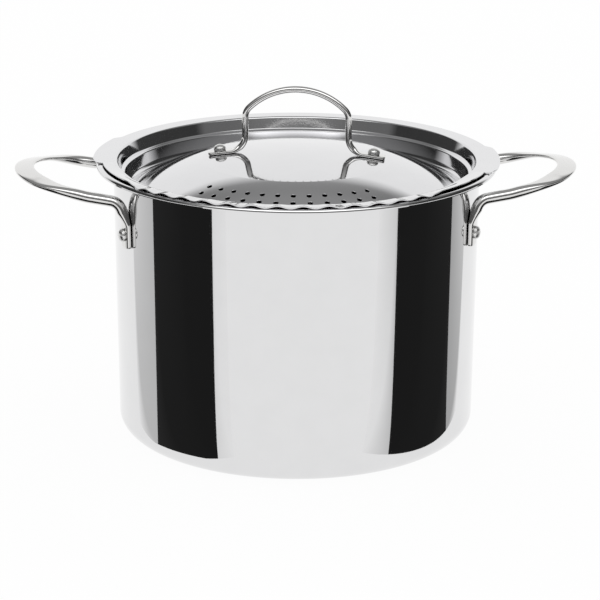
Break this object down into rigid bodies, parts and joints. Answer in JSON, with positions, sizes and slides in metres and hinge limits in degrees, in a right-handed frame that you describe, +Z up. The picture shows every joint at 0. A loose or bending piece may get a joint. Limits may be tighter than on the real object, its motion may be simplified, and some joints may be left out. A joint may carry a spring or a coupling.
{
  "type": "pasta pot with straining lid",
  "caption": "Round steel pot with a flared rim, two riveted loop handles and a lift-off lid with a waved pouring edge, rows of straining holes and a bent rod handle.",
  "frame": {"origin": "on the pot's axis, on the underside of the base that the pot stands on", "axes": "+Z up along the pot's axis, the side handles along X, the straining front of the lid towards -Y"},
  "size_m": [0.3706, 0.264, 0.2329],
  "materials": {
    "mirror_steel": "mirror polish",
    "handle_steel": "polished",
    "rivet_steel": "polished",
    "lid_steel": "satin",
    "brushed_steel": "turned",
    "aluminium": "plain"
  },
  "bodies": {
    "pot": {"pot_body": "mirror_steel", "base_cap": "brushed_steel", "base_core": "aluminium", "left_handle": "handle_steel", "right_handle": "handle_steel", "left_handle_front_rivet": "rivet_steel", "left_handle_rear_rivet": "rivet_steel", "right_handle_front_rivet": "rivet_steel", "right_handle_rear_rivet": "rivet_steel"},
    "lid": {"straining_lid": "lid_steel", "lid_handle": "handle_steel", "lid_handle_left_rivet": "rivet_steel", "lid_handle_right_rivet": "rivet_steel"}
  },
  "joints": [
    {"name": "lid_lift", "type": "slide", "parent": "pot", "child": "lid", "axis": [0, 0, 1], "range_m": [0, 0.15]}
  ]
}
